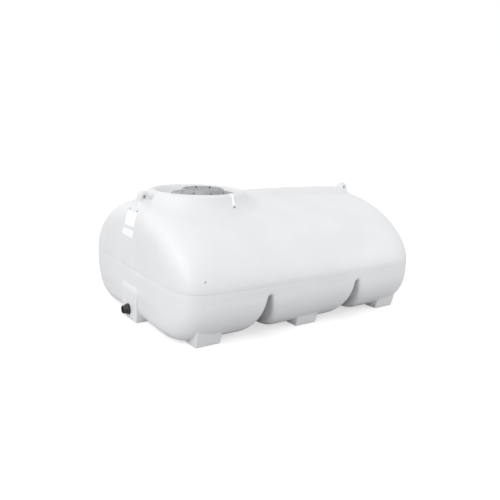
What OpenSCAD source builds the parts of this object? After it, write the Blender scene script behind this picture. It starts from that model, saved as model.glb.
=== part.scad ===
// Low-profile liquid fertilizer tank, moulded in polyethylene.
// X runs along the tank from the outlet end, Y across it and Z up from the floor.
// The origin is on the floor, under the middle of the overall size.

/* [Moulded body] */
// Length of the moulded body over its two ends
body_l = 2040; // [1700:1:2600]
// Width of the body at its parting line
body_w = 1624; // [1300:1:2000]
// Height of the crown of the body above the floor
crown_z = 846; // [740:1:1100]
// Height of the parting line
seam_z = 364; // [300:1:440]
// Height of the flat belly above the floor
belly_z = 5; // [3:1:40]
// Radius of the lower part of the sides, where they round into the belly
belly_r = 290; // [200:1:300]
// Radius of the lower edge across the ends
end_r = 106; // [80:1:150]
// Wall of the moulding
wall = 7; // [5:0.5:10]
// Length of each end piece
end_l = 162; // [140:1:190]

/* [Curves of the body] */
// Fullness of the arch over the top, where 2 is an ellipse
arch_e = 1.85; // [1.7:0.01:2.6]
// Fullness of the body towards its ends
end_e = 8.8; // [5:0.1:10]
// Swell of the middle of each end
end_swell = 4; // [0:1:20]

/* [Valleys between the pods] */
// Distance of each valley from the middle of the tank
valley_x = 391; // [340:1:440]
// Height of the top of a valley above the floor
valley_z = 296; // [220:1:310]
// Radius at the top of a valley
valley_r = 48; // [30:1:56]
// Lean of the valley's walls
valley_lean = 5; // [2:1:9]
// Radius of the pods' lower corners beside a valley
pod_r = 98; // [60:1:110]

/* [Manway turret] */
// Distance of the turret's axis from the middle of the tank
turret_x = 492; // [460:1:530]
// Outer diameter of the turret
turret_d = 674; // [620:1:690]
// Height of the turret's rim above the floor
turret_z = 882; // [870:1:920]
// Depth of the recess inside the rim
recess_d = 47; // [30:1:60]
// Thickness of the rim
rim_t = 16; // [12:1:24]
// Height of the flat band under the rim
turret_flat = 6; // [2:1:14]
// Radius of the flare from the turret into the crown
turret_flare = 112; // [104:1:130]

/* [Lid] */
// Distance of the lid's axis from the middle of the tank
lid_x = 456; // [440:1:480]
// Diameter of the lid over its flange
lid_d = 455; // [420:1:480]
// Thickness of the lid's flange
lid_flange_t = 12; // [8:1:16]
// Diameter of the top of the raised cap
cap_d = 294; // [260:1:320]
// Height of the raised cap above the flange
cap_h = 34; // [24:1:44]
// Slope of the cap's side, from its foot to its top
cap_slope = 19; // [10:1:26]
// Wall of the lid
lid_wall = 5; // [4:0.5:8]
// Finger recesses round the cap
grips = 8; // [6:1:12]
// Bore of the manway
manway_d = 400; // [360:1:410]
// Width of the lid's tether
tether_w = 16; // [10:1:24]
// Thickness of the tether
tether_t = 3; // [2:0.5:4]
// Reach of the tether from the turret's wall on to the lid
tether_l = 116; // [108:1:130]
// Thickness of the lid's gasket
gasket_t = 3; // [2:0.5:5]
// Gap that the gasket's seats leave
seat_gap = 0.3; // [0.2:0.1:0.5]

/* [Spine] */
// Width of the ridge along the crown
spine_w = 184; // [150:1:240]
// Height of the ridge's top above the floor
spine_z = 862; // [856:1:878]

/* [Lifting eyes] */
// Distance of each lifting eye from the middle of the tank
eye_x = 914; // [905:1:930]
// Height of the eyes' holes above the floor
eye_z = 853; // [846:1:866]
// Diameter of a lug
eye_d = 82; // [80:1:100]
// Thickness of a lug
eye_t = 44; // [36:1:56]
// Diameter of the shackle hole
eye_bore = 24; // [18:1:30]

/* [Feet] */
// Distance of the outer feet from the middle of the tank
foot_x = 796; // [760:1:830]
// Length of a foot on the floor
foot_l = 160; // [130:1:200]
// Distance of the feet's outer faces from the middle plane, at the floor
foot_y = 702; // [680:1:720]
// Width of a foot
foot_w = 130; // [110:1:160]
// Height to which a foot runs up into the body
foot_h = 130; // [110:1:150]
// Draft of a foot's ends over that height
foot_draft = 13; // [0:1:20]
// Lean of a foot's outer face over that height
foot_lean = 14; // [0:1:20]
// Diameter of the hole through a foot
foot_bore = 12; // [8:1:14]
// Height of that hole
foot_bore_z = 18; // [14:1:20]

/* [Sump and outlet] */
// Width of the sump
sump_w = 250; // [160:1:280]
// Height of the sump's top
sump_h = 262; // [220:1:300]
// How far the sump's face stands out past the end
sump_out = 10; // [4:1:20]
// Height of the outlet's axis
outlet_z = 71; // [66:1:110]
// Outer diameter of the outlet's thread
outlet_d = 58; // [50:1:60]
// Bore of the outlet
outlet_bore = 46; // [36:1:50]
// Width of the outlet's hexagon across its flats
hex_w = 68; // [64:1:76]
// Diameter of the outlet's flange
outlet_flange_d = 81; // [76:1:90]
// Thickness of the outlet's flange and gasket together
outlet_flange_t = 9; // [7:1:14]
// Length of the threaded neck
neck_l = 34; // [26:1:44]

/* [Hidden] */
$fn = 96;

half_l = body_l / 2;
half_w = body_w / 2;
split_x = half_l - end_l;
// The overall size runs from the outlet's tip to the rear end, so the body sits past its middle.
outlet_reach = sump_out + outlet_flange_t + neck_l;
body_x = outlet_reach / 2;

// ---- The skin -------------------------------------------------------------------------------
// A skin is [half length, half width, crown, parting line, belly, inset]. The inner skin is the
// outer one moved in by the wall.
outer = [half_l, half_w, crown_z, seam_z, belly_z, 0];
inner = [half_l - wall, half_w - wall, crown_z - wall, seam_z, belly_z + wall, wall];

arch_steps = 12;
arc_steps = 7;

// Centre of the curve from a valley's wall to the flat belly, from the valley's middle.
pod_c = [valley_r * cos(valley_lean) + pod_r * cos(valley_lean)
         + tan(valley_lean) * (valley_z - valley_r + valley_r * sin(valley_lean)
                               - belly_z - pod_r + pod_r * sin(valley_lean)),
         belly_z + pod_r];
pod_end_x = valley_x + pod_c[0];

// How full the section is at x, where 1 is the section at the middle.
function fullness(skin, x) = pow(max(0, 1 - pow(min(1, abs(x) / skin[0]), end_e)), 1 / end_e);
// Height of the belly at x, which rises round the lower edge of the ends.
function low_z(skin, x) =
    let (r = end_r - skin[5], past = max(0, abs(x) - (skin[0] - r)))
    skin[4] + r - sqrt(max(0, r * r - past * past));
// The side runs straight down from the parting line, then rounds into the belly.
side_c = [half_w - belly_r, belly_z + belly_r];
function side_y(skin, z) =
    let (r = belly_r - skin[5])
    z >= side_c[1] ? skin[1] : side_c[0] + sqrt(max(0, r * r - pow(side_c[1] - z, 2)));
// Levels down the side: one on the straight, then steps round the edge.
function side_levels(skin) =
    let (r = belly_r - skin[5])
    [0.5 * (seam_z + side_c[1]),
     for (i = [0 : arc_steps]) side_c[1] - r * sin(90 * i / arc_steps)];

// Half of the arch over the top, from the parting line to the crown, as [y, z].
function arch(skin, s) = [for (i = [0 : arch_steps])
    let (a = 90 * i / arch_steps)
    [skin[1] * s * pow(cos(a), 2 / arch_e),
     skin[3] + (skin[2] - skin[3]) * s * pow(sin(a), 2 / arch_e)]];
// Half of the tub below, from under the parting line to the belly, at x with its belly at z.
function tub(skin, s, z) = [for (level = side_levels(skin))
    let (down = (seam_z - level) / (seam_z - skin[4]))
    [s * side_y(skin, level), seam_z - (seam_z - z) * down]];
// The same where a valley cuts into a tub whose sides stay where they are.
function cut_tub(skin, s, z) = [for (level = side_levels(skin))
    let (down = (seam_z - level) / (seam_z - skin[4]), h = seam_z - (seam_z - z) * down)
    [s * side_y(skin, h), h]];

function mirrored(half) = [for (i = [len(half) - 1 : -1 : 0]) [-half[i][0], half[i][1]]];
function at_x(x, ring) = [for (p = ring) [x, p[0], p[1]]];
// A ring over the top, from the near parting line to the far one.
function top_ring(skin, x, s) =
    let (half = arch(skin, s), far = [for (i = [arch_steps - 1 : -1 : 0]) half[i]])
    at_x(x, concat([for (p = half) [-p[0], p[1]]], far));
// A ring under the belly, from the far parting line to the near one.
function low_ring(x, half, s, skin) =
    let (far = concat([[skin[1] * s, seam_z]], half))
    at_x(x, concat(far, mirrored(far)));

// ---- Sheets with a wall ---------------------------------------------------------------------
// Closes a sheet between an outer and an inner grid of the same size. Rings run along the rows.
module sheet(out, inn) {
    n = len(out);
    m = len(out[0]);
    k = n * m;
    points = concat([for (r = out) each r], [for (r = inn) each r]);
    skins = [for (i = [0 : n - 2]) for (j = [0 : m - 2])
        let (a = i * m + j, b = a + 1, c = a + m + 1, d = a + m)
        each [[a, b, c], [a, c, d], [k + a, k + c, k + b], [k + a, k + d, k + c]]];
    ends = [for (j = [0 : m - 2]) let (a = j, z = (n - 1) * m + j)
        each [[a, k + a + 1, a + 1], [a, k + a, k + a + 1],
              [z, z + 1, k + z + 1], [z, k + z + 1, k + z]]];
    sides = [for (i = [0 : n - 2]) let (a = i * m, z = i * m + m - 1)
        each [[a, a + m, k + a + m], [a, k + a + m, k + a],
              [z, k + z + m, z + m], [z, k + z, k + z + m]]];
    polyhedron(points, concat(skins, ends, sides), convexity = 6);
}

module placed() translate([body_x, 0, 0]) children();
module moulded() color("whitesmoke") placed() children();

// ---- The crown ------------------------------------------------------------------------------
// Stations along the body, close together where its width starts to fall off.
half_stations = [pod_c[0] < valley_x ? valley_x - pod_c[0] : valley_x / 2, valley_x,
                 valley_x + pod_c[0] / 2, pod_end_x, (pod_end_x + split_x) / 2, split_x];
crown_stations = concat([for (i = [len(half_stations) - 1 : -1 : 0]) -half_stations[i]],
                        half_stations);
function crown_grid(skin) = [for (x = crown_stations) top_ring(skin, x, fullness(skin, x))];

module crown() moulded() difference() {
    sheet(crown_grid(outer), crown_grid(inner));
    translate([-turret_x, 0, seam_z]) cylinder(d = turret_d - 2 * wall, h = crown_z);
}

// ---- The ends -------------------------------------------------------------------------------
// Stations round an end: an angle that runs from the split to the flat of the end.
end_steps = 10;
last_s = 0.16;
flat_middle = (seam_z + low_z(outer, half_l)) / 2;
function start_angle(skin) = asin(pow(split_x / skin[0], end_e / 2));
function end_station(skin, i) =
    let (a0 = start_angle(skin), t = i / end_steps, a = a0 + (90 - a0) * t,
         s = i == end_steps ? last_s : pow(cos(a), 2 / end_e),
         x = i == end_steps ? skin[0] : skin[0] * pow(sin(a), 2 / end_e))
    [x, s, end_swell * pow(max(0, 1 - s / 0.9), 2)];
function end_ring(skin, i) =
    let (st = end_station(skin, i), x = st[0], s = st[1],
         top = top_ring(skin, x + st[2], s), n = len(top),
         low = low_ring(x + st[2], tub(skin, s, low_z(skin, x)), s, skin), m = len(low))
    concat(top, [for (j = [1 : m - 2]) low[j]]);

// An end is a bowl: rings that close on themselves, and a flat of one fan on each skin.
module end_bowl() {
    out = [for (i = [0 : end_steps]) end_ring(outer, i)];
    inn = [for (i = [0 : end_steps]) end_ring(inner, i)];
    n = len(out);
    m = len(out[0]);
    k = n * m;
    points = concat([for (r = out) each r], [for (r = inn) each r],
        [[half_l + end_swell, 0, flat_middle], [half_l - wall + end_swell, 0, flat_middle]]);
    skins = [for (i = [0 : n - 2]) for (j = [0 : m - 1])
        let (a = i * m + j, b = i * m + (j + 1) % m, c = b + m, d = a + m)
        each [[a, b, c], [a, c, d], [k + a, k + c, k + b], [k + a, k + d, k + c]]];
    mouth = [for (j = [0 : m - 1]) let (a = j, b = (j + 1) % m)
        each [[a, k + b, b], [a, k + a, k + b]]];
    flats = [for (j = [0 : m - 1]) let (a = (n - 1) * m + j, b = (n - 1) * m + (j + 1) % m)
        each [[a, b, 2 * k], [k + a, 2 * k + 1, k + b]]];
    polyhedron(points, concat(skins, mouth, flats), convexity = 6);
}

module outlet_end() moulded() difference() {
    mirror([1, 0, 0]) end_bowl();
    sump_cavity();
}
module rear_end() moulded() end_bowl();

// ---- Pods and valleys -----------------------------------------------------------------------
// The valley's outline from its middle to the flat belly, as [x, z, angle of its normal].
apex_steps = 3;
pod_steps = 4;
function valley_half() = concat(
    [for (i = [0 : apex_steps]) let (a = 90 - (90 - valley_lean) * i / apex_steps)
        [valley_r * cos(a), valley_z - valley_r + valley_r * sin(a), a]],
    [for (i = [0 : pod_steps]) let (a = 180 + valley_lean + (90 - valley_lean) * i / pod_steps)
        [pod_c[0] + pod_r * cos(a), pod_c[1] + pod_r * sin(a), a - 180]]);
// The whole outline across a valley at x0, and its inner skin a wall further in.
function valley_line(x0) =
    let (half = valley_half(), n = len(half))
    concat([for (i = [n - 1 : -1 : 1]) [x0 - half[i][0], half[i][1], 180 - half[i][2]]],
           [for (p = half) [x0 + p[0], p[1], p[2]]]);
function valley_point(skin, p) = [p[0] + skin[5] * cos(p[2]), p[1] + skin[5] * sin(p[2])];
function under_ring(skin, p) =
    let (q = valley_point(skin, p), s = fullness(skin, q[0]))
    low_ring(q[0], cut_tub(skin, s, q[1]), s, skin);
module under_sheet(line)
    sheet([for (p = line) under_ring(outer, p)], [for (p = line) under_ring(inner, p)]);

belly_steps = 2;
function flat_line(x0, x1) = [for (i = [0 : belly_steps])
    let (x = x0 + (x1 - x0) * i / belly_steps) [x, low_z(outer, x), 90]];

module belly_outlet() moulded() under_sheet(flat_line(-split_x, -pod_end_x));
module valley_outlet() moulded() under_sheet(valley_line(-valley_x));
module belly_middle() moulded() under_sheet(flat_line(pod_c[0] - valley_x, valley_x - pod_c[0]));
module valley_rear() moulded() under_sheet(valley_line(valley_x));
module belly_rear() moulded() under_sheet(flat_line(pod_end_x, split_x));

// The whole body as one solid, for what is trimmed to its skin.
function body_rings() =
    let (n = end_steps)
    concat([for (i = [n : -1 : 1]) let (r = end_ring(outer, i)) [for (p = r) [-p[0], p[1], p[2]]]],
           [for (x = crown_stations)
               let (s = fullness(outer, x), top = top_ring(outer, x, s),
                    low = low_ring(x, tub(outer, s, low_z(outer, x)), s, outer), m = len(low))
               concat(top, [for (j = [1 : m - 2]) low[j]])],
           [for (i = [1 : n]) end_ring(outer, i)]);
module body_solid() {
    rings = body_rings();
    n = len(rings);
    m = len(rings[0]);
    skins = [for (i = [0 : n - 2]) for (j = [0 : m - 1])
        let (a = i * m + j, b = i * m + (j + 1) % m)
        each [[a, b, b + m], [a, b + m, a + m]]];
    flats = [for (j = [0 : m - 1]) let (a = (n - 1) * m)
        each [[(j + 1) % m, j, n * m], [a + j, a + (j + 1) % m, n * m + 1]]];
    middles = [for (side = [-1, 1]) [side * (half_l + end_swell), 0, flat_middle]];
    polyhedron(concat([for (r = rings) each r], middles), concat(skins, flats), convexity = 4);
}

// ---- Turret ---------------------------------------------------------------------------------
turret_r = turret_d / 2;
recess_z = turret_z - recess_d;
flare_z = turret_z - rim_t - turret_flat;
module on_turret_axis() translate([-turret_x, 0, 0]) children();

// The wall flares out below its flat band, and is trimmed where it meets the crown.
module turret_skirt() rotate_extrude() difference() {
    union() {
        translate([turret_r - wall, flare_z]) square([wall, turret_z - rim_t / 2 - flare_z]);
        translate([turret_r - wall, flare_z - 1.4 * turret_flare])
            square([wall + turret_flare, 1.4 * turret_flare]);
    }
    translate([turret_r + turret_flare, flare_z]) circle(turret_flare, $fn = 128);
}
// The recess inside the rim: a cup whose floor carries the manway.
module turret_cup() rotate_extrude() {
    translate([0, recess_z - wall]) square([turret_r - wall, wall]);
    translate([turret_r - rim_t, recess_z - wall])
        square([rim_t - wall, recess_d + wall - rim_t / 2]);
    translate([turret_r - rim_t / 2, turret_z - rim_t / 2]) circle(d = rim_t, $fn = 32);
}
module turret() moulded() difference() {
    on_turret_axis() union() {
        turret_cup();
        difference() {
            turret_skirt();
            translate([turret_x, 0, 0]) body_solid();
        }
    }
    translate([-lid_x, 0, seam_z]) cylinder(d = manway_d, h = turret_z);
}

// ---- Spine ----------------------------------------------------------------------------------
module spine() moulded() difference() {
    translate([-turret_x, 0, 0]) rotate([90, 0, 90])
        linear_extrude(turret_x + eye_x - eye_d / 2) {
            r = (spine_z - crown_z) / 2;
            translate([-spine_w / 2, crown_z - 4 * r]) square([spine_w, 5 * r]);
            for (side = [-1, 1]) translate([side * (spine_w / 2 - r), spine_z - r]) circle(r, $fn = 32);
            translate([-spine_w / 2 + r, spine_z - 2 * r]) square([spine_w - 2 * r, 2 * r]);
        }
    on_turret_axis() {
        cylinder(d = turret_d, h = 2 * crown_z);
        turret_skirt();
    }
    body_solid();
}

// ---- Lifting eyes ---------------------------------------------------------------------------
module lifting_eye(side) moulded() difference() {
    translate([side * eye_x, eye_t / 2, 0]) rotate([90, 0, 0]) linear_extrude(eye_t) {
        translate([0, eye_z]) circle(d = eye_d);
        translate([-eye_d / 2, seam_z]) square([eye_d, eye_z - seam_z]);
    }
    translate([side * eye_x, eye_t, eye_z]) rotate([90, 0, 0]) cylinder(d = eye_bore, h = 2 * eye_t);
    body_solid();
}
module eye_outlet() lifting_eye(-1);
module eye_rear() lifting_eye(1);

// ---- Feet -----------------------------------------------------------------------------------
module foot(x, side) moulded() difference() {
    translate([x, 0, 0]) intersection() {
        rotate([90, 0, 0]) linear_extrude(2 * half_w, center = true)
            polygon([[-foot_l / 2, 0], [foot_l / 2, 0],
                     [foot_l / 2 + foot_draft, foot_h], [-foot_l / 2 - foot_draft, foot_h]]);
        rotate([90, 0, 90]) linear_extrude(2 * foot_l, center = true)
            polygon([[side * foot_y, 0], [side * (foot_y + foot_lean), foot_h],
                     [side * (foot_y - foot_w), foot_h], [side * (foot_y - foot_w), 0]]);
    }
    translate([x - foot_l, side * (foot_y - 26), foot_bore_z]) rotate([0, 90, 0])
        cylinder(d = foot_bore, h = 2 * foot_l);
    body_solid();
}
module foot_outlet_near() foot(-foot_x, -1);
module foot_middle_near() foot(0, -1);
module foot_rear_near() foot(foot_x, -1);
module foot_outlet_far() foot(-foot_x, 1);
module foot_middle_far() foot(0, 1);
module foot_rear_far() foot(foot_x, 1);

// ---- Sump -----------------------------------------------------------------------------------
sump_x = -half_l - end_swell - sump_out;
sump_floor = 1;
module sump_cavity()
    translate([sump_x + wall, -sump_w / 2 + wall, sump_floor + wall])
        cube([end_r, sump_w - 2 * wall, sump_h - sump_floor - 3 * wall]);
module sump() moulded() difference() {
    translate([sump_x, -sump_w / 2, sump_floor]) cube([end_r, sump_w, sump_h - sump_floor]);
    sump_cavity();
    outlet_cut();
    body_solid();
}
spigot_d = outlet_d - 4;
module outlet_cut()
    translate([sump_x - 1, 0, outlet_z]) rotate([0, 90, 0])
        cylinder(d = spigot_d + 2 * seat_gap, h = wall + 2);

// ---- Manway ring and lid --------------------------------------------------------------------
ring_h = 8;
ring_z = recess_z;
gasket_z = ring_z + ring_h;
lid_z = gasket_z + gasket_t;
module on_lid_axis() translate([-lid_x, 0, 0]) children();

module manway_ring() color("gainsboro") placed() on_lid_axis() rotate_extrude() difference() {
    translate([manway_d / 2 - 2 * wall, ring_z - wall - ring_h])
        square([lid_d / 2 - manway_d / 2 + wall, 2 * ring_h + wall]);
    translate([manway_d / 2 - seat_gap, 0]) square([lid_d, ring_z]);
}

module lid_gasket() color([0.15, 0.15, 0.16]) placed() on_lid_axis()
    translate([0, 0, gasket_z]) difference() {
        cylinder(d = lid_d - 4 * lid_wall, h = gasket_t);
        translate([0, 0, -1]) cylinder(d = manway_d, h = gasket_t + 2);
    }

// Finger recesses cut into the sloping side of the cap. Each keeps a wall behind it.
grip_w = 18;
grip_in = 16;
grip_h = cap_h - 8;
module grips_round(more)
    for (i = [0 : grips - 1]) rotate([0, 0, 360 * (i + 0.5) / grips])
        translate([cap_d / 2 - grip_in - more, -grip_w / 2 - more, lid_z + lid_flange_t - more])
            cube([grip_in + cap_slope + 2 * more, grip_w + 2 * more, grip_h + 2 * more]);
module lid() color("silver") placed() on_lid_axis() difference() {
    rotate_extrude() polygon([
        [0, lid_z], [lid_d / 2 - 2, lid_z], [lid_d / 2, lid_z + 2],
        [lid_d / 2, lid_z + lid_flange_t - 3], [lid_d / 2 - 3, lid_z + lid_flange_t],
        [cap_d / 2 + cap_slope, lid_z + lid_flange_t],
        [cap_d / 2, lid_z + lid_flange_t + cap_h - 4],
        [cap_d / 2 - 4, lid_z + lid_flange_t + cap_h], [0, lid_z + lid_flange_t + cap_h]]);
    difference() {
        rotate_extrude() polygon([
            [0, lid_z - 1], [cap_d / 2 + cap_slope - lid_wall, lid_z - 1],
            [cap_d / 2 - lid_wall, lid_z + lid_flange_t + cap_h - lid_wall],
            [0, lid_z + lid_flange_t + cap_h - lid_wall]]);
        grips_round(lid_wall);
    }
    grips_round(0);
}

// ---- Outlet ---------------------------------------------------------------------------------
module on_outlet(x) translate([sump_x - x, 0, outlet_z]) rotate([0, 90, 0]) children();
gasket_face = 3;
hex_l = 8;
module outlet_gasket() color([0.1, 0.1, 0.1]) placed() on_outlet(gasket_face) difference() {
    cylinder(d = outlet_flange_d - 4, h = gasket_face);
    translate([0, 0, -1]) cylinder(d = spigot_d + 2 * seat_gap, h = gasket_face + 2);
}
module outlet_flange() color([0.12, 0.12, 0.13]) placed() on_outlet(outlet_flange_t + hex_l) difference() {
    union() {
        translate([0, 0, hex_l]) cylinder(d = outlet_flange_d, h = outlet_flange_t - gasket_face);
        cylinder(d = hex_w / cos(30), h = hex_l + 0.5, $fn = 6);
    }
    translate([0, 0, -1]) cylinder(d = spigot_d + 2 * seat_gap, h = outlet_flange_t + hex_l + 2);
}
// The thread runs from the hexagon's face to the tip. A thinner spigot passes the wall behind it.
module outlet_neck() color([0.12, 0.12, 0.13]) placed() on_outlet(outlet_flange_t + neck_l) difference() {
    union() {
        cylinder(d = outlet_d, h = neck_l - hex_l);
        cylinder(d = spigot_d, h = outlet_flange_t + neck_l + wall);
    }
    translate([0, 0, -1]) cylinder(d = outlet_bore, h = neck_l + outlet_flange_t + wall + 2);
}

// ---- Tether ---------------------------------------------------------------------------------
// The strap runs off the lid's flange, over the rim and down the turret's flare.
tether_a = -76;
tether_sweep = 36;
on_flange_z = lid_z + lid_flange_t + seat_gap;
on_rim_z = turret_z + seat_gap;
module on_tether() placed() on_turret_axis() rotate([0, 0, tether_a]) children();
module tether() color("white") on_tether() rotate([90, 0, 0])
    translate([0, 0, -tether_w / 2]) linear_extrude(tether_w) {
        out = turret_r + seat_gap;
        polygon([[out - tether_l, on_flange_z], [turret_r - 2 * rim_t - 34, on_flange_z],
                 [turret_r - rim_t, on_rim_z], [out, on_rim_z], [out, on_rim_z + tether_t],
                 [turret_r - rim_t - 2, on_rim_z + tether_t],
                 [turret_r - 2 * rim_t - 36, on_flange_z + tether_t],
                 [out - tether_l, on_flange_z + tether_t]]);
        translate([out, flare_z]) square([tether_t, on_rim_z + tether_t - flare_z]);
        translate([turret_r + turret_flare, flare_z]) intersection() {
            difference() {
                circle(turret_flare - seat_gap, $fn = 128);
                circle(turret_flare - seat_gap - tether_t, $fn = 128);
            }
            rotate(180) polygon([[0, 0], [turret_flare * 2, 0],
                2 * turret_flare * [cos(tether_sweep), sin(tether_sweep)]]);
        }
    }
module tether_screw() color("dimgray") on_tether()
    translate([turret_r + turret_flare, 0, flare_z]) rotate([0, -tether_sweep + 5, 0])
        translate([-turret_flare + 2 * seat_gap + tether_t, 0, 0]) rotate([0, 90, 0])
            cylinder(d1 = 13, d2 = 9, h = 4, $fn = 32);

crown();
outlet_end();
rear_end();
belly_outlet();
valley_outlet();
belly_middle();
valley_rear();
belly_rear();
turret();
spine();
eye_outlet();
eye_rear();
foot_outlet_near();
foot_middle_near();
foot_rear_near();
foot_outlet_far();
foot_middle_far();
foot_rear_far();
sump();
manway_ring();
lid_gasket();
lid();
outlet_gasket();
outlet_flange();
outlet_neck();
tether();
tether_screw();
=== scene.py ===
import math

import bmesh
import bpy
from mathutils import Matrix, Vector
from mathutils.bvhtree import BVHTree


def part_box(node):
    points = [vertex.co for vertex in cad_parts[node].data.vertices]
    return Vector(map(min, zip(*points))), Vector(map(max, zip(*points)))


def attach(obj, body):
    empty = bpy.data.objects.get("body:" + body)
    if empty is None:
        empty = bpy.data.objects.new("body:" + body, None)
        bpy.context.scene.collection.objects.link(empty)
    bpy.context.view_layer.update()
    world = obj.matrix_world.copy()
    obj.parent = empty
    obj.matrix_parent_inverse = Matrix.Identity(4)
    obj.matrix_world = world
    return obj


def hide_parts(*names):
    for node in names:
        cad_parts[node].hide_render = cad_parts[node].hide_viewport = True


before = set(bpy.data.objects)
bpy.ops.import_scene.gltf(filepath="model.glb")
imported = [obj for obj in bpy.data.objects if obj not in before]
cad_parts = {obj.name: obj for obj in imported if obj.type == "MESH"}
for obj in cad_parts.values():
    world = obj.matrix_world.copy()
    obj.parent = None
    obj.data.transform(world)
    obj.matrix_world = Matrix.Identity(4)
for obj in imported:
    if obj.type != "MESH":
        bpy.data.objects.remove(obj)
scene = bpy.context.scene
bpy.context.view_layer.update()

# ---- Viewpoint -------------------------------------------------------------------------------
# The camera stands off the outlet end on the near side, a little above the tank, and looks down
# at it. It is placed from the middle of the moulded body.
crown_low, crown_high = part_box("crown")
middle = Vector(((crown_low.x + crown_high.x) / 2, 0, 0))
heading, dip, roll = math.radians(54.66434), math.radians(13.06466), math.radians(2.34923)
ahead = Vector((math.cos(heading) * math.cos(dip), math.sin(heading) * math.cos(dip),
                -math.sin(dip)))
across = Vector((math.sin(heading), -math.cos(heading), 0))
above = across.cross(ahead)
to_right = across * math.cos(roll) + above * math.sin(roll)
to_top = above * math.cos(roll) - across * math.sin(roll)
stand = middle + Vector((-2.49434, -3.49342, 1.38304))
camera = bpy.data.objects.new("camera", bpy.data.cameras.new("camera"))
camera.data.lens = 40.283
camera.matrix_world = (Matrix.Translation(stand)
                       @ Matrix((to_right, to_top, -ahead)).transposed().to_4x4())
scene.collection.objects.link(camera)
scene.camera = camera

# ---- Moulded skin ----------------------------------------------------------------------------
# The tank is one rotationally moulded shell of white polyethylene, made in a two-part mould whose
# parting line runs round it below mid height. Its skin is a rule: a distance from the surface,
# built up from the crown, the tub, the valleys, the turret, the spine, the eyes, feet and sump.


class Wire:
    """A socket in a node tree. Sums written with it add Math nodes to the tree."""

    def __init__(self, tree, socket=None):
        self.tree, self.socket = tree, socket

    def make(self, kind, settings=None, values=None, out=0):
        """Adds a node of that kind, with its settings and its input values or links."""
        node = self.tree.nodes.new(kind)
        for name, value in (settings or {}).items():
            setattr(node, name, value)
        pairs = values.items() if isinstance(values, dict) else enumerate(values or ())
        for name, value in pairs:
            if isinstance(value, Wire):
                self.tree.links.new(value.socket, node.inputs[name])
            else:
                node.inputs[name].default_value = value
        return Wire(self.tree, node.outputs[out] if len(node.outputs) else node)

    def sibling(self, name):
        """Another output of the same node."""
        return Wire(self.tree, self.socket.node.outputs[name])

    def maths(self, operation, *values):
        return self.make("ShaderNodeMath", {"operation": operation}, values)

    def __add__(self, other): return self.maths("ADD", self, other)
    def __radd__(self, other): return self.maths("ADD", other, self)
    def __sub__(self, other): return self.maths("SUBTRACT", self, other)
    def __rsub__(self, other): return self.maths("SUBTRACT", other, self)
    def __mul__(self, other): return self.maths("MULTIPLY", self, other)
    def __rmul__(self, other): return self.maths("MULTIPLY", other, self)
    def __truediv__(self, other): return self.maths("DIVIDE", self, other)
    def __rtruediv__(self, other): return self.maths("DIVIDE", other, self)
    def __pow__(self, other): return self.maths("POWER", self, other)
    def __neg__(self): return self.maths("MULTIPLY", self, -1)
    def __abs__(self): return self.maths("ABSOLUTE", self)
    def least(self, other): return self.maths("MINIMUM", self, other)
    def most(self, other): return self.maths("MAXIMUM", self, other)
    def root(self): return self.maths("SQRT", self)

    def eased(self, start, end, low=0.0, high=1.0):
        """Goes smoothly from low to high as the value goes from start to end."""
        return self.make("ShaderNodeMapRange", {"interpolation_type": "SMOOTHSTEP"}, {
            "Value": self, "From Min": start, "From Max": end, "To Min": low, "To Max": high})


def both(a, b):
    """How far off a point is that lies a one way and b across it."""
    return (a * a + b * b).root()


def cut_by(a, b, radius):
    """Where two solids overlap, with their meeting edge rounded."""
    return a.most(b).least(-radius) + both((a + radius).most(0), (b + radius).most(0))


def joined(a, b, radius):
    """Two solids as one, with a fillet of that radius between them."""
    return a.least(b).most(radius) - both((radius - a).most(0), (radius - b).most(0))


# metres from the middle of the body at floor level; the E values say how square a curve is
HALF_L, HALF_W, CROWN, SEAM, BELLY = 1.0204, 0.8045, 0.8428, 0.364, 0.003
END_E, ARCH_E, SIDE_R = 9.15, 1.825, 0.284
VALLEY_X, VALLEY_Z, VALLEY_R, VALLEY_LEAN = 0.387, 0.281, 0.020, math.radians(13)
VALLEY_SHIFT = 0.016  # the pair of valleys lies this far towards the outlet
TURRET_X, TURRET_R, TURRET_TOP, RIM_T, RECESS_Z = -0.505, 0.330, 0.886, 0.029, 0.835
MOUTH_X, MOUTH_R = -0.456, 0.200
SPINE_HALF, SPINE_TOP, SPINE_SAG = 0.092, 0.861, 0.032
EYE_X, EYE_Z, EYE_R, EYE_HALF, EYE_BORE = 0.921, 0.8515, 0.0415, 0.028, 0.012
FOOT_X, FOOT_HALF, FOOT_Y, FOOT_IN = 0.796, 0.090, 0.694, 0.572
HOLE_Y, HOLE_Z, HOLE_R = 0.676, 0.018, 0.006
SUMP_X, SUMP_HALF, SUMP_TOP = -1.0335, 0.125, 0.262
LOFT = 0.6  # nothing that stands on the crown reaches down past this height


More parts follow.
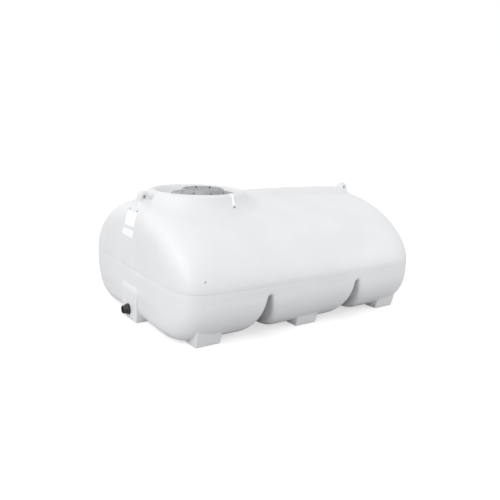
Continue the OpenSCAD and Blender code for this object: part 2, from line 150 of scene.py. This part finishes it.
def crown_and_tub(x, y, z):
    """The plain body: a vaulted crown above the parting line and a tub below it."""
    ax, u, w = abs(x) / HALF_L, abs(y) / HALF_W, ((z - SEAM) / (CROWN - SEAM)).most(0)
    rho = ((u ** ARCH_E + w ** ARCH_E) ** (1 / ARCH_E)).most(1e-4)
    whole = ((ax ** END_E + rho ** END_E) ** (1 / END_E)).most(1e-4)
    upright = (rho / whole) ** (END_E - 1)
    lengthways = (ax / whole) ** (END_E - 1) / HALF_L
    sideways = upright * (u / rho) ** (ARCH_E - 1) / HALF_W
    upwards = upright * (w / rho) ** (ARCH_E - 1) / (CROWN - SEAM)
    slope = (lengthways * lengthways + sideways * sideways + upwards * upwards).root()
    top = (whole - 1) / slope.most(0.3)
    # below the parting line the sides turn in, and the belly rises towards the ends
    end_r = abs(y).eased(0.10, 0.45, 0.130, 0.112)
    past = (abs(x) - HALF_L + end_r).most(0).least(0.98 * end_r)
    rise = end_r - (end_r * end_r - past * past).root()
    level = SEAM - (SEAM - z) * (SEAM - BELLY) / (SEAM - BELLY - rise)
    drop = (BELLY + SIDE_R - level).most(0).least(0.97 * SIDE_R)
    chord = (SIDE_R ** 2 - drop * drop).root()
    width = chord + (HALF_W - SIDE_R)
    out = abs(y) / width
    whole = ((ax ** END_E + out ** END_E) ** (1 / END_E)).most(1e-4)
    upright = (out / whole) ** (END_E - 1) / width
    lengthways = (ax / whole) ** (END_E - 1) / HALF_L
    upwards = upright * out * drop / chord
    slope = (lengthways * lengthways + upright * upright + upwards * upwards).root()
    sides = (whole - 1) / slope.most(0.3)
    belly = cut_by(abs(x) - HALF_L, BELLY - z, end_r)
    return top.most(cut_by(sides, belly, level.eased(0.02, 0.16, 0.03, 0.0005)))


def shape(x, y, z):
    """The whole moulding: less than nought inside it and more than nought outside."""
    body = crown_and_tub(x, y, z)
    # two valleys run under the belly from side to side
    off, below = abs(abs(x + VALLEY_SHIFT) - VALLEY_X), z - VALLEY_Z
    square = off * math.cos(VALLEY_LEAN) + below * math.sin(VALLEY_LEAN)
    along = (off * math.sin(VALLEY_LEAN) - below * math.cos(VALLEY_LEAN)).least(0)
    valley = both(square.most(0), along) - VALLEY_R
    body = cut_by(body, -valley, z.eased(0.0, 0.20, 0.055, 0.022))
    # the spine, from the turret to the rear end
    top = SPINE_TOP - SPINE_SAG * (x - 0.35) * (x - 0.35)
    side, over = abs(y) - (SPINE_HALF - 0.012), z - (top - 0.012)
    spine = both(side.most(0), over.most(0)) + side.most(over).least(0) - 0.012
    spine = spine.most(x - (EYE_X - 0.02)).most(TURRET_X - x).most(LOFT - z)
    body = joined(body, spine, 0.022)
    # the turret flares up out of the crown to a rolled rim, and holds a recess with an open mouth
    reach = both(x - TURRET_X, y)
    body = joined(body, (reach - TURRET_R).most(LOFT - z), abs(y).eased(0.0, 0.33, 0.055, 0.15))
    body = cut_by(body, z - TURRET_TOP, 0.020)
    wall = (reach - (TURRET_R - RIM_T) + 0.8 * (TURRET_TOP - z)) * 0.78
    recess = cut_by(wall, RECESS_Z - z, 0.013)
    body = cut_by(body, -recess, 0.010)
    body = body.most((MOUTH_R - both(x - MOUTH_X, y)).least(z - 0.7))
    # the lifting eyes
    across, up = abs(x) - EYE_X, z - EYE_Z
    disc = both(across, up.most(0)) - EYE_R
    disc = cut_by(disc, abs(y) - EYE_HALF, 0.019).most(LOFT - z)
    body = joined(body, disc, 0.022)
    body = cut_by(body, EYE_BORE - both(across, up).most(abs(y) - 0.06), 0.006)
    # the feet, three a side and a little nearer the outlet; their ends and fronts lean out
    along = abs(x + 0.003).least(abs(abs(x + 0.005) - FOOT_X))
    ends = along - FOOT_HALF - 0.03 * z
    face = (abs(y) - FOOT_Y - 0.24 * z) * 0.972
    foot = cut_by(cut_by(ends, face, 0.008), FOOT_IN - abs(y), 0.008)
    foot = cut_by(foot, -z + 0.0002, 0.005).most(z - 0.2)
    body = joined(body, foot, 0.005)
    # the sump boss at the outlet end
    front = SUMP_X + 0.003 * z / SUMP_TOP - x
    boss = cut_by(cut_by(front, abs(y) - SUMP_HALF, 0.010), z - SUMP_TOP - 0.03, 0.09)
    boss = cut_by(boss, 0.0015 - z, 0.01).most(x + 0.86)
    body = joined(body, boss, 0.006)
    # the bolt holes through the feet
    return body.most(HOLE_R - both(abs(y) - HOLE_Y, z - HOLE_Z).most(0.5 - abs(y)))


def new_tree(name, inputs, outputs):
    """An empty geometry tree with named inputs and outputs."""
    tree = bpy.data.node_groups.new(name, "GeometryNodeTree")
    for label, kind in inputs:
        tree.interface.new_socket(label, in_out="INPUT", socket_type=kind)
    for label, kind in outputs:
        tree.interface.new_socket(label, in_out="OUTPUT", socket_type=kind)
    start = Wire(tree).make("NodeGroupInput")
    return tree, start, tree.nodes.new("NodeGroupOutput")


def skin_tree(name, rule, origin):
    """A tree that grows the surface where rule(x, y, z), measured from the origin, is nought."""
    form, start, end = new_tree(name + "_form", [("Place", "NodeSocketVector")],
                                [("Distance", "NodeSocketFloat")])
    place = start.make("ShaderNodeVectorMath", {"operation": "SUBTRACT"}, [start, tuple(origin)])
    part = place.make("ShaderNodeSeparateXYZ", None, [place])
    form.links.new(rule(part, part.sibling("Y"), part.sibling("Z")).socket, end.inputs[0])
    skin, start, end = new_tree(name + "_skin", [
        ("Geometry", "NodeSocketGeometry"), ("Lowest", "NodeSocketVector"),
        ("Highest", "NodeSocketVector"), ("Cell", "NodeSocketFloat"),
        ("Finish", "NodeSocketMaterial")], [("Geometry", "NodeSocketGeometry")])
    lowest, highest, cell = start.sibling("Lowest"), start.sibling("Highest"), start.sibling("Cell")

    def vector(operation, *values):
        return start.make("ShaderNodeVectorMath", {"operation": operation}, values)

    def distance(at):
        return start.make("GeometryNodeGroup", {"node_tree": form}, [at])

    here, step = start.make("GeometryNodeInputPosition"), 0.0004
    off_skin = distance(here)

    def slope_along(axis):
        before, after = (distance(vector("ADD", here, tuple(move * (axis == a) for a in range(3))))
                         for move in (-step, step))
        return (after - before) / (2 * step)

    slope = start.make("ShaderNodeCombineXYZ", None, [slope_along(axis) for axis in range(3)])
    outward = vector("NORMALIZE", slope)
    steepness = start.make("ShaderNodeVectorMath", {"operation": "LENGTH"}, [slope],
                           out="Value").most(0.4)
    count = start.make("ShaderNodeVectorMath", {"operation": "SCALE"},
                       {"Vector": vector("SUBTRACT", highest, lowest), "Scale": 1 / cell})
    count = start.make("ShaderNodeSeparateXYZ", None, [count])
    volume = start.make("GeometryNodeVolumeCube", None, {
        "Density": (0.1 - off_skin).most(0).least(0.2), "Min": lowest, "Max": highest,
        "Resolution X": count + 1, "Resolution Y": count.sibling("Y") + 1,
        "Resolution Z": count.sibling("Z") + 1})
    mesh = start.make("GeometryNodeVolumeToMesh", None, {"Volume": volume, "Threshold": 0.1})
    mesh = start.make("GeometryNodeDeleteGeometry", None,
                      {"Geometry": mesh, "Selection": abs(off_skin) - cell * 0.9})
    # the grid's surface is drawn on to the rule's, in four steps
    back = start.make("ShaderNodeVectorMath", {"operation": "SCALE"}, {
        "Vector": outward, "Scale": -(off_skin / steepness).most(-cell).least(cell)})
    for turn in range(4):
        mesh = start.make("GeometryNodeSetPosition", None, {"Geometry": mesh, "Offset": back})
    mesh = start.make("GeometryNodeSetShadeSmooth", None, {"Geometry": mesh})
    mesh = start.make("GeometryNodeStoreNamedAttribute", {"data_type": "FLOAT_VECTOR"},
                      {"Geometry": mesh, "Name": "facing", "Value": outward})
    mesh = start.make("GeometryNodeRealizeInstances", None, [mesh])
    mesh = start.make("GeometryNodeSetMaterial", None,
                      {"Geometry": mesh, "Material": start.sibling("Finish")})
    skin.links.new(mesh.socket, end.inputs[0])
    return skin


def grown(name, tree, **inputs):
    """What a skin tree makes, as a plain mesh. Its inputs are given by their names."""
    holder = bpy.data.objects.new(name, bpy.data.meshes.new(name))
    scene.collection.objects.link(holder)
    modifier = holder.modifiers.new(name, "NODES")
    modifier.node_group = tree
    for item in tree.interface.items_tree:
        if item.in_out == "INPUT" and item.name.lower() in inputs:
            modifier[item.identifier] = inputs[item.name.lower()]
    bpy.context.view_layer.update()
    evaluated = holder.evaluated_get(bpy.context.evaluated_depsgraph_get())
    made = bpy.data.meshes.new_from_object(evaluated)
    bpy.data.objects.remove(holder)
    made.name = name
    return made


def faced(mesh):
    """Turns the directions that a skin tree stored into the mesh's own normals."""
    facing = [value.vector.normalized() for value in mesh.attributes["facing"].data]
    mesh.attributes.remove(mesh.attributes["facing"])
    mesh.shade_smooth()
    mesh.normals_split_custom_set_from_vertices(facing)


def shown(name, mesh, *nodes):
    """Puts a finished mesh on the tank. It stands for those CAD nodes."""
    piece = bpy.data.objects.new(name, mesh)
    scene.collection.objects.link(piece)
    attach(piece, "root")
    if nodes:
        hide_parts(*nodes)
    return piece


def cut_at_box(bm, low, high, inside, margin=0.03):
    """Cuts a mesh along a box's faces, and keeps what is inside the box or what is outside it."""
    def within(point, more):
        return all(low[a] - more < point[a] < high[a] + more for a in range(3))

    for axis in range(3):
        for side, at in ((-1, low[axis]), (1, high[axis])):
            faces = [f for f in bm.faces if inside or within(f.calc_center_median(), margin)]
            # lists without repeats, in an order that is the same each run
            edges = list(dict.fromkeys(e for f in faces for e in f.edges))
            corners = list(dict.fromkeys(v for e in edges for v in e.verts))
            normal = Vector([side * (axis == a) for a in range(3)])
            bmesh.ops.bisect_plane(bm, geom=faces + edges + corners, dist=1e-6,
                                   plane_co=normal * side * at, plane_no=normal,
                                   clear_outer=inside)
    if not inside:
        filling = [f for f in bm.faces if within(f.calc_center_median(), 0)]
        bmesh.ops.delete(bm, geom=filling, context="FACES")


tank_skin = skin_tree("tank", shape, middle)


def moulded(name, box, cell, left_out, *nodes):
    """The part of the moulding in that box, less the boxes that finer pieces fill."""
    low, high = (Vector(corner) + middle for corner in box)
    edge = Vector((3 * cell,) * 3)
    mesh = grown(name, tank_skin, lowest=low - edge, highest=high + edge, cell=cell,
                 finish=white_pe)
    bm = bmesh.new()
    bm.from_mesh(mesh)
    cut_at_box(bm, low, high, True)
    for other in left_out:
        cut_at_box(bm, *(Vector(corner) + middle for corner in other), False)
    bmesh.ops.triangulate(bm, faces=[f for f in bm.faces if len(f.verts) > 4])
    bm.to_mesh(mesh)
    bm.free()
    faced(mesh)
    return shown(name, mesh, *nodes)


def material(name):
    """A new material, and a pen to write its nodes with."""
    made = bpy.data.materials.new(name)
    made.use_nodes = True
    made.node_tree.nodes.clear()
    return made, Wire(made.node_tree)


def finished(pen, surface):
    pen.make("ShaderNodeOutputMaterial", None, {"Surface": surface})


def noise(pen, scale, detail):
    """A cloudy pattern in the piece's own space."""
    place = pen.make("ShaderNodeTexCoord", out="Object")
    return pen.make("ShaderNodeTexNoise", None, {"Vector": place, "Scale": scale, "Detail": detail})


def bumped(pen, strength, distance, relief):
    return pen.make("ShaderNodeBump", None,
                    {"Strength": strength, "Distance": distance, "Height": relief})


def blend(pen, factor, dark, light):
    return pen.make("ShaderNodeMix", {"data_type": "RGBA"}, {0: factor, 6: dark, 7: light}, out=2)


white_pe, pen = material("white_polyethylene")
peel, swell = noise(pen, 260, 2), noise(pen, 3.2, 2)
# the parting line is clearest by the outlet end's corners and fades towards the rear
along = pen.make("ShaderNodeSeparateXYZ", None, [pen.make("ShaderNodeTexCoord", out="Object")])
off_seam = abs(along.sibling("Z") - SEAM)
clear = along.eased(0.2, -0.9, 0.35, 1)
line = off_seam.eased(0.0008, 0.0048, 1, 0) * clear * along.eased(-1.015, -0.94, 0.25, 1)
waist = off_seam.eased(0.0, 0.030, 1, 0) * clear
relief = peel * 0.12 + swell * 2.0 - line * 1.5 - waist * 2.2
tone = blend(pen, swell.eased(0.35, 0.65) * 0.5 + line * 0.5,
             (0.725, 0.731, 0.742, 1), (0.68, 0.687, 0.70, 1))
finished(pen, pen.make("ShaderNodeBsdfPrincipled", None, {
    "Base Color": tone, "Roughness": peel * 0.08 + 0.36,
    "Normal": bumped(pen, 0.5, 0.0012, relief), "IOR": 1.5}))

# where each finer piece of the skin begins and ends
turret_box = ((TURRET_X - 0.365, -0.50, 0.66), (TURRET_X + 0.47, 0.50, 0.90))
rim_box = ((TURRET_X - 0.345, -0.345, 0.847), (TURRET_X + 0.345, 0.345, 0.89))
spine_box = ((TURRET_X + 0.47, -0.14, 0.74), (0.99, 0.14, 0.90))
eye_box = ((-0.99, -0.09, 0.72), (TURRET_X - 0.365, 0.09, 0.90))
foot_boxes = {f"foot_{row}_{side}": ((x - 0.112, y - 0.13, -0.01), (x + 0.112, y + 0.13, 0.165))
              for row, x in (("outlet", -FOOT_X), ("middle", 0), ("rear", FOOT_X))
              for side, y in (("near", -0.675), ("far", 0.675))}
sump_box = ((-1.04, -0.165, -0.01), (-0.84, 0.165, 0.30))

moulded("moulding_upper", ((-1.03, -0.82, SEAM), (1.03, 0.82, 0.90)), 0.0105,
        [turret_box, spine_box, eye_box], "crown")
moulded("moulding_lower", ((-1.04, -0.82, -0.01), (1.03, 0.82, SEAM)), 0.0105,
        [sump_box, *foot_boxes.values()], "outlet_end", "rear_end", "belly_outlet",
        "belly_middle", "belly_rear", "valley_outlet", "valley_rear")
moulded("turret_wall", turret_box, 0.007, [rim_box], "turret")
moulded("turret_rim", rim_box, 0.0035, [])
moulded("spine_and_eye", spine_box, 0.0048, [], "spine", "eye_rear")
moulded("lifting_eye", eye_box, 0.0040, [], "eye_outlet")
for foot, foot_box in foot_boxes.items():
    moulded(foot + "_skin", foot_box, 0.0036, [], foot)
moulded("sump_skin", sump_box, 0.005, [], "sump")

# ---- Manway lid ------------------------------------------------------------------------------
# A grey polypropylene lid screws down on the manway ring. It is a flat flange with a raised,
# sloping ring round a dish, and eight finger holds are cut into the ring's wall.
lid_low, lid_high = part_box("lid")
lid_axis = Vector(((lid_low.x + lid_high.x) / 2, 0, lid_low.z))
LID_R, FLANGE_T, CAP_R, CAP_SLOPE, CAP_TOP = 0.2272, 0.0118, 0.147, 0.019, 0.0457
DISH_R, DISH_Z, HOLD_TURN = 0.137, 0.0205, math.radians(37)
SEAT = 0.004  # what stands on the flange starts inside it, at this height


def lid_rule(x, y, z):
    """The lid, measured from its axis at the underside of its flange."""
    reach = both(x, y)
    flange = cut_by(reach - LID_R, abs(z - FLANGE_T / 2) - FLANGE_T / 2, 0.0028)
    rib = cut_by(abs(reach - 0.2) - 0.0035, z - FLANGE_T - 0.0022, 0.0015).most(SEAT - z)
    flange = joined(flange, rib, 0.002)
    side = (reach - CAP_R - CAP_SLOPE + (z - FLANGE_T) * (CAP_SLOPE / 0.034)) * 0.873
    cap = cut_by(side, z - CAP_TOP, 0.0055).most(SEAT - z)
    dish = cut_by((reach - DISH_R - 1.1 * (z - CAP_TOP)) * 0.67, DISH_Z - z, 0.004)
    cap = cut_by(cap, -dish, 0.0035)
    hub = cut_by(reach - 0.030, z - DISH_Z - 0.006, 0.003).most(SEAT - z)
    cap = joined(cap, hub, 0.003)
    lid = joined(flange, cap, 0.005)
    # a slot inside the cap's wall and a shallow hold outside it, eight times round
    turn = x.maths("WRAP", x.maths("ARCTAN2", y, x) - HOLD_TURN, math.pi / 8, -math.pi / 8)
    along, aside = reach * x.maths("COSINE", turn), reach * x.maths("SINE", turn)
    slot = cut_by(abs(aside) - 0.0055, abs(along - DISH_R + 0.004) - 0.010, 0.002)
    slot = cut_by(slot, abs(z - 0.0330) - 0.0110, 0.002)
    hold = cut_by(abs(aside) - 0.009, 0.1535 - along, 0.004)
    hold = cut_by(hold, abs(z - 0.0240) - 0.0105, 0.003)
    return cut_by(lid, -slot.least(hold), 0.0014)


grey_pp, pen = material("grey_polypropylene")
grain, cloud = noise(pen, 700, 2), noise(pen, 14, 4)
tone = blend(pen, cloud.eased(0.35, 0.7), (0.340, 0.350, 0.362, 1), (0.300, 0.310, 0.322, 1))
finished(pen, pen.make("ShaderNodeBsdfPrincipled", None, {
    "Base Color": tone, "Roughness": cloud * 0.12 + 0.36,
    "Normal": bumped(pen, 0.35, 0.0004, grain)}))

edge = Vector((0.01, 0.01, 0.01))
mesh = grown("manway_lid", skin_tree("lid", lid_rule, lid_axis),
             lowest=lid_low - edge, highest=lid_high + edge, cell=0.0029, finish=grey_pp)
faced(mesh)
shown("manway_lid", mesh, "lid")

black_rubber, pen = material("black_rubber")
grain = noise(pen, 500, 3)
finished(pen, pen.make("ShaderNodeBsdfPrincipled", None, {
    "Base Color": (0.02, 0.02, 0.021, 1), "Roughness": grain * 0.2 + 0.62,
    "Normal": bumped(pen, 0.4, 0.0004, grain)}))


def repainted(node, finish):
    """Gives a CAD node, whose shape stays, a better material."""
    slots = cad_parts[node].data.materials
    slots.clear()
    slots.append(finish)


repainted("manway_ring", white_pe)
repainted("lid_gasket", black_rubber)

# ---- Outlet ----------------------------------------------------------------------------------
# A black polypropylene tank fitting: a hexagon screws up on a rubber washer against the sump, and
# a threaded tail with an open bore points out of the tank.
black_pp, pen = material("black_polypropylene")
grain, dust = noise(pen, 900, 2), noise(pen, 60, 4)
tone = blend(pen, dust.eased(0.45, 0.7), (0.030, 0.030, 0.033, 1), (0.045, 0.045, 0.048, 1))
finished(pen, pen.make("ShaderNodeBsdfPrincipled", None, {
    "Base Color": tone, "Roughness": dust * 0.15 + 0.30,
    "Normal": bumped(pen, 0.3, 0.0003, grain)}))

neck_low, neck_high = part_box("outlet_neck")
flange_low, flange_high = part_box("outlet_flange")
tail_y, tail_z = (neck_low.y + neck_high.y) / 2, (neck_low.z + neck_high.z) / 2
# radii about the outlet's axis, and the thread's pitch and depth
HEX_FLAT, HEX_CORNER, HEX_BORE = 0.0346, 0.0394, 0.0272
THREAD_R, THREAD_PITCH, THREAD_DEPTH, TAIL_BORE = 0.0289, 0.0042, 0.0017, 0.0231


def bands(rows, around, closed=False):
    """Faces between rows of points that go round. If closed, the last row meets the first."""
    return [(i * around + j, i * around + (j + 1) % around,
             (i + 1) % rows * around + (j + 1) % around, (i + 1) % rows * around + j)
            for i in range(rows if closed else rows - 1) for j in range(around)]


def solid(name, points, faces, finish, sharp):
    """A closed mesh with outward normals, whose edges are sharp beyond that many degrees."""
    mesh = bpy.data.meshes.new(name)
    mesh.from_pydata(points, [], faces)
    bm = bmesh.new()
    bm.from_mesh(mesh)
    bmesh.ops.recalc_face_normals(bm, faces=bm.faces)
    bm.to_mesh(mesh)
    bm.free()
    mesh.shade_smooth()
    mesh.set_sharp_from_angle(angle=math.radians(sharp))
    mesh.materials.append(finish)
    return mesh


def bored(name, outline, bore, start, end, chamfer, rings, *nodes):
    """A pipe piece along the outlet's axis. outline(angle, distance) gives its outer radius."""
    around = 96
    turns = [math.tau * j / around for j in range(around)]
    layers = [(end, [bore] * around), (start + 0.001, [bore] * around),
              (start, [bore + 0.0008] * around)]
    for i in range(rings + 1):
        at = start + (end - start) * i / rings
        bevel = chamfer * max(0, 1 - min(at - start, end - at) / chamfer)
        layers.append((at, [max(bore + 0.001, outline(turn, at) - bevel) for turn in turns]))
    points = [(at, tail_y + r * math.cos(turn), tail_z + r * math.sin(turn))
              for at, radii in layers for turn, r in zip(turns, radii)]
    faces = bands(len(layers), around, closed=True)
    return shown(name, solid(name, points, faces, black_pp, 35), *nodes)


def hexagon(angle, at):
    """A hexagon, turned a little, whose corners are turned off."""
    flat = HEX_FLAT / math.cos((angle + math.radians(12)) % (math.pi / 3) - math.pi / 6)
    return min(flat, HEX_CORNER)


def thread(angle, at):
    """A round thread that winds along the tail."""
    phase = ((at - neck_low.x) / THREAD_PITCH + angle / math.tau) % 1
    return THREAD_R - THREAD_DEPTH * abs(2 * phase - 1) ** 1.3


bored("outlet_hexagon", hexagon, HEX_BORE, flange_low.x, flange_high.x, 0.0012, 14,
      "outlet_flange")
bored("outlet_tail", thread, TAIL_BORE, neck_low.x, flange_low.x + 0.004, 0.0016, 90,
      "outlet_neck")
repainted("outlet_gasket", black_rubber)

# ---- Labels and rivets -----------------------------------------------------------------------
# Two bare white plastic plates are stuck on the outlet end, the upper one under a pair of small
# rivets. Each follows the curve of the moulding.


def feeler(*names):
    """Those pieces' surface, to find where a line meets it."""
    points, faces = [], []
    for name in names:
        mesh = bpy.data.objects[name].data
        faces += [tuple(v + len(points) for v in p.vertices) for p in mesh.polygons]
        points += [v.co for v in mesh.vertices]
    return BVHTree.FromPolygons(points, faces)


shell_tree = feeler("moulding_upper")


def on_end(y, z):
    """Where the outlet end's skin is, and which way it faces."""
    return shell_tree.ray_cast(middle + Vector((-1.3, y, z)), Vector((1, 0, 0)))[:2]


label_pvc, pen = material("white_label")
fleck = noise(pen, 90, 5)
finished(pen, pen.make("ShaderNodeBsdfPrincipled", None, {
    "Base Color": (0.90, 0.90, 0.90, 1), "Roughness": fleck * 0.2 + 0.25,
    "Normal": bumped(pen, 0.2, 0.0003, fleck)}))


def plate(name, corners, thick=0.0010, across=16, up=12):
    """A thin plate laid on the skin. Its four (y, z) corners go round from the top left."""
    top_left, top_right, low_right, low_left = (Vector(corner) for corner in corners)
    points = []
    for lift in (thick, -0.0006):
        for i in range(up + 1):
            for j in range(across + 1):
                top = top_left.lerp(top_right, j / across)
                low = low_left.lerp(low_right, j / across)
                spot, facing = on_end(*top.lerp(low, i / up))
                points.append(spot + facing * lift)
    wide, half = across + 1, (across + 1) * (up + 1)
    faces = [(i * wide + j, i * wide + j + 1, (i + 1) * wide + j + 1, (i + 1) * wide + j)
             for i in range(up) for j in range(across)]
    faces += [tuple(half + v for v in reversed(f)) for f in faces]
    border = [*range(across), *range(across, half - 1, wide),
              *range(half - 1, up * wide, -1), *range(up * wide, 0, -wide)]
    faces += [(a, half + a, half + b, b) for a, b in zip(border, border[1:] + border[:1])]
    return shown(name, solid(name, points, faces, label_pvc, 40))


plate("label_upper", ((0.061, 0.752), (-0.088, 0.755), (-0.074, 0.658), (0.084, 0.652)))
plate("label_lower", ((0.108, 0.630), (-0.070, 0.634), (-0.046, 0.579), (0.131, 0.584)))

grey_metal, pen = material("dull_aluminium")
finished(pen, pen.make("ShaderNodeBsdfPrincipled", None, {
    "Base Color": (0.25, 0.255, 0.26, 1), "Metallic": 0.6,
    "Roughness": noise(pen, 800, 3) * 0.3 + 0.35}))


def domed(name, centre, facing, radius, height, finish, *nodes):
    """A low domed head, such as a rivet's, sitting on the skin."""
    facing = facing.normalized()
    side = facing.orthogonal().normalized()
    other = facing.cross(side)
    profile = [(radius, -0.001), (radius, height * 0.3)]
    profile += [(radius * math.cos(a), height * (0.3 + 0.7 * math.sin(a)))
                for a in (0.25, 0.5, 0.75, 1.0, 1.25)]
    around = 24
    turns = [math.tau * j / around for j in range(around)]
    points = [centre + (side * math.cos(turn) + other * math.sin(turn)) * r + facing * h
              for r, h in profile for turn in turns] + [centre + facing * height]
    top = len(points) - 1
    faces = bands(len(profile), around)
    faces += [(top - around + j, top - around + (j + 1) % around, top) for j in range(around)]
    mesh = bpy.data.meshes.new(name)
    mesh.from_pydata(points, [], faces)
    mesh.shade_smooth()
    mesh.materials.append(finish)
    return shown(name, mesh, *nodes)


for name, y, z in (("rivet_far", 0.050, 0.7665), ("rivet_near", -0.070, 0.7635)):
    domed(name, *on_end(y, z), 0.0062, 0.0028, grey_metal)

# ---- Tether ----------------------------------------------------------------------------------
# A white plastic strap keeps the lid with the tank. It runs off the lid's flange, over the rim and
# down the turret's flare, where a screw holds it.
turret_tree = feeler("turret_wall", "turret_rim")
lid_end, wall_end = Vector((-0.3955, -0.2150, 0)), Vector((-0.4302, -0.3816, 0))
run, up = wall_end - lid_end, Vector((0, 0, 1))
sideways = run.cross(up).normalized()


def on_turret(share):
    """The turret's skin at that share of the way along the tether, and which way it faces."""
    return turret_tree.ray_cast(middle + lid_end + run * share + 1.2 * up, -up)[:2]


def strap(name, path, half, thick, *nodes):
    """A flat strap along a path of points, each with the way the strap faces there."""
    section = [(-half, 0), (-half, thick * 0.6), (-half * 0.86, thick),
               (half * 0.86, thick), (half, thick * 0.6), (half, 0)]
    points = [at + sideways * s + facing.normalized() * t
              for at, facing in path for s, t in section]
    count = len(section)
    faces = bands(len(path), count)
    faces += [tuple(range(count)), tuple(range(len(points) - count, len(points)))]
    return shown(name, solid(name, points, faces, label_pvc, 30), *nodes)


over_rim = ((0, 0.8585), (0.06, 0.8592), (0.20, 0.8660), (0.34, 0.8775), (0.45, 0.8850))
path = [(middle + lid_end + run * share + z * up, up) for share, z in over_rim]
for i in range(20):
    spot, facing = on_turret(0.53 + 0.022 * i)
    path.append((spot + facing * 0.0004, facing))
strap("tether_strap", path, 0.0080, 0.0028, "tether")
spot, facing = on_turret(0.985)
domed("tether_screw_head", spot + facing * 0.0012, facing, 0.0072, 0.0034, grey_metal,
      "tether_screw")

# ---- Plugs -----------------------------------------------------------------------------------
# Two small plugs pressed into the moulding: a grey metal one on the near side by the outlet end,
# and one of the tank's own polyethylene on the crown beside the turret.
for name, skin, finish, aim, out in (
        ("plug_side", shell_tree, grey_metal, (-0.872, -0.764, 0.442), (-0.26, -0.90, 0.35)),
        ("plug_crown", turret_tree, white_pe, (-0.472, -0.427, 0.763), (0, -0.62, 0.78))):
    spot, facing = skin.ray_cast(middle + Vector(aim) + Vector(out) * 0.2, -Vector(out))[:2]
    domed(name, spot, facing, 0.0048, 0.0014, finish)

# ---- Stage -----------------------------------------------------------------------------------
# A pale floor that keeps the tank's shadow, one large soft lamp off the outlet end, a weak one
# beside the rear and an even white surround.
floor_mesh = bpy.data.meshes.new("floor")
floor_mesh.from_pydata([(-30, -30, 0), (30, -30, 0), (30, 30, 0), (-30, 30, 0)], [], [(0, 1, 2, 3)])
floor = bpy.data.objects.new("floor", floor_mesh)
scene.collection.objects.link(floor)
pale, pen = material("pale_floor")
seen = pen.make("ShaderNodeLightPath", out="Is Camera Ray")
glow = pen.make("ShaderNodeEmission", None, {"Color": (1, 1, 1, 1), "Strength": 0.60})
matt = pen.make("ShaderNodeBsdfDiffuse", None, {"Color": (0.52, 0.52, 0.525, 1)})
lit = pen.make("ShaderNodeAddShader", None, [glow, matt])
plain = pen.make("ShaderNodeBsdfDiffuse", None, {"Color": (0.58, 0.58, 0.59, 1)})
finished(pen, pen.make("ShaderNodeMixShader", None, [seen, plain, lit]))
floor_mesh.materials.append(pale)

world = bpy.data.worlds.new("surround")
scene.world = world
world.use_nodes = True
world.node_tree.nodes.clear()
pen = Wire(world.node_tree)
rays = pen.make("ShaderNodeLightPath", out="Is Camera Ray")
seen = rays.most(rays.sibling("Is Glossy Ray")).most(rays.sibling("Is Transmission Ray"))
pen.make("ShaderNodeOutputWorld", None, {"Surface": pen.make("ShaderNodeBackground", None, {
    "Color": (1, 1, 1, 1), "Strength": seen * 0.16 + 0.84})})


def lamp(name, at, aim, size, power):
    """A square area lamp, turned to shine on that point."""
    light = bpy.data.lights.new(name, "AREA")
    light.shape, light.size, light.energy = "SQUARE", size, power
    holder = bpy.data.objects.new(name, light)
    holder.location = at
    holder.rotation_euler = (Vector(aim) - Vector(at)).to_track_quat("-Z", "Y").to_euler()
    scene.collection.objects.link(holder)


lamp("key", (-12.8, -4.0, 9.6), (0, 0, 0.4), 13, 1330)
lamp("fill", (3.2, -3.4, 1.7), (0.5, -0.6, 0.4), 2.8, 30)

scene.view_settings.view_transform = "Standard"
